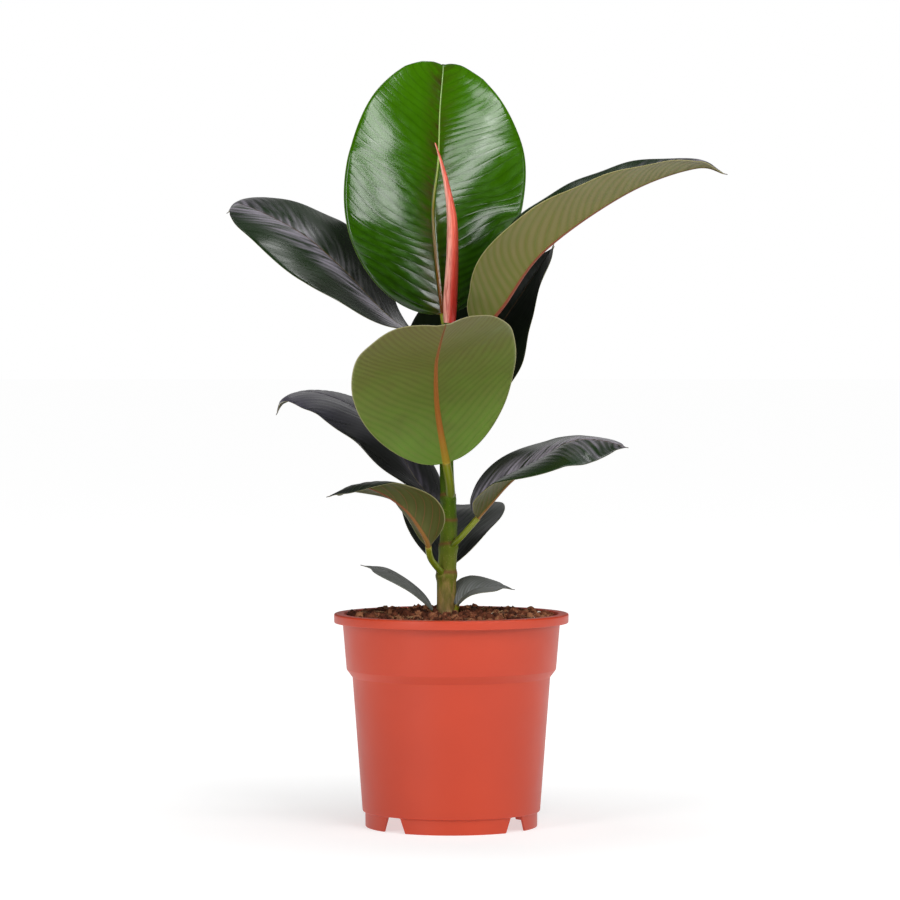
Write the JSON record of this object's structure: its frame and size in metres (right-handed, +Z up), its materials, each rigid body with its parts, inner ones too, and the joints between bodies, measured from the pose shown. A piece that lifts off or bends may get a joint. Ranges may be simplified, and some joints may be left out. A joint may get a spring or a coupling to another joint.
{
  "type": "potted rubber plant",
  "caption": "Young rubber plant with large oval leaves and a rolled red bud sheath, upright in a round moulded grow pot filled with peat.",
  "frame": {"origin": "middle of the plant's outer box, on the surface that the pot's feet stand on", "axes": "+Z up along the stem, +X to the right and +Y away from the front of the pictured view"},
  "size_m": [0.3012, 0.245, 0.4598],
  "materials": {
    "pot_plastic": "satin",
    "peat": "matte",
    "stem_bark": "satin",
    "bud_sheath_red": "satin",
    "leaf_dark": "satin",
    "leaf_young": "gloss"
  },
  "bodies": {
    "root": {"pot": "pot_plastic", "potting_soil": "peat", "stem": "stem_bark", "bud_sheath": "bud_sheath_red", "leaf_01": "leaf_dark", "leaf_02": "leaf_dark", "leaf_03": "leaf_dark", "leaf_04": "leaf_dark", "leaf_05": "leaf_dark", "leaf_06": "leaf_dark", "leaf_07": "leaf_dark", "leaf_08": "leaf_dark", "leaf_09": "leaf_dark", "leaf_10": "leaf_dark", "leaf_11": "leaf_young"}
  },
  "joints": []
}
